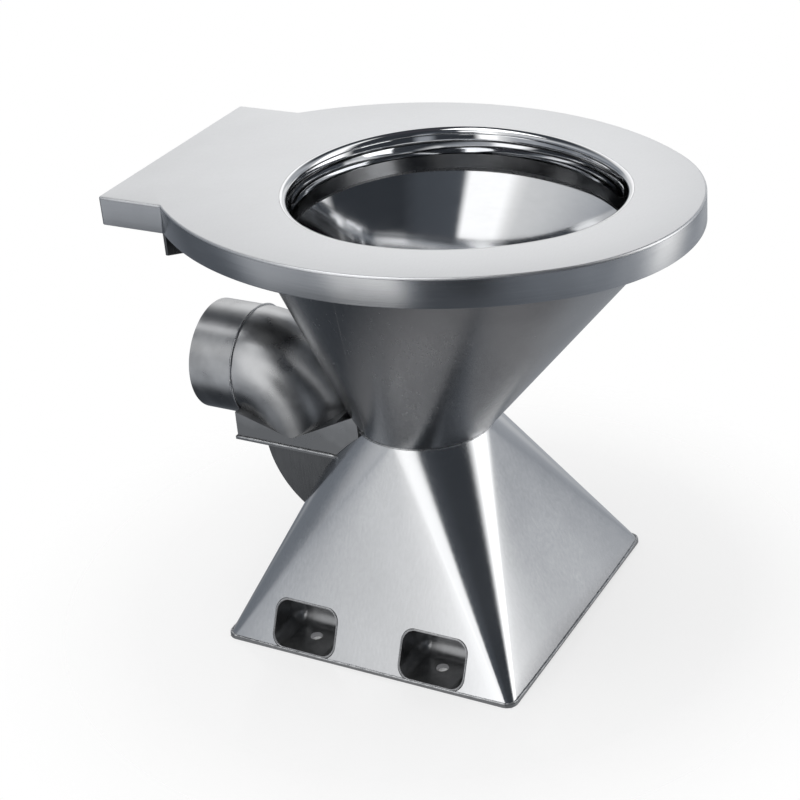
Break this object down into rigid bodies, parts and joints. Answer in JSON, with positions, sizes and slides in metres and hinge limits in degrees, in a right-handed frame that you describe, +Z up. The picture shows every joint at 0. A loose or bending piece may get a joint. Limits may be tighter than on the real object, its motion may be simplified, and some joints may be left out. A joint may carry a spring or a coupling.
{
  "type": "toilet pan",
  "caption": "Floor-standing stainless steel toilet pan with an integral seat deck, an oval cone bowl, a square foot, a trap and a horizontal rear outlet",
  "frame": {"origin": "on the floor, at the centre of the foot and of its four fixing holes", "axes": "+X is the pan's right side seen from the front, +Y runs back to the outlet, +Z is up; the front of the pan faces -Y"},
  "size_m": [0.36, 0.48, 0.4],
  "materials": {
    "deck_satin": "satin stainless steel, fine grain",
    "skirt_brushed": "brushed stainless steel, grain along the edge band",
    "rim_polished": "mirror-polished stainless steel",
    "bowl_brushed": "stainless steel, brushed outside and polished inside",
    "foot_satin": "satin stainless steel",
    "pocket_polished": "polished stainless steel, pressed",
    "pickled_steel": "pickled stainless steel, matte and blotched, as welded",
    "plain_steel": "plain rolled stainless steel"
  },
  "bodies": {
    "root": {"seat_deck": "deck_satin", "deck_skirt": "skirt_brushed", "rim_lip": "rim_polished", "flush_rim": "rim_polished", "rim_floor": "plain_steel", "bowl_front": "bowl_brushed", "bowl_rear": "bowl_brushed", "flush_back_plate": "plain_steel", "flush_box": "plain_steel", "flush_inlet": "plain_steel", "flush_spreader": "plain_steel", "trap_top_plate": "pickled_steel", "trap_cheek_left": "plain_steel", "trap_cheek_right": "plain_steel", "trap_wrapper": "plain_steel", "trap_baffle": "plain_steel", "outlet_elbow": "pickled_steel", "outlet_spigot": "pickled_steel", "foot_left": "foot_satin", "foot_right": "foot_satin", "base_frame": "foot_satin", "pocket_front_left": "pocket_polished", "pocket_rear_left": "pocket_polished", "pocket_front_right": "pocket_polished", "pocket_rear_right": "pocket_polished"}
  },
  "joints": []
}
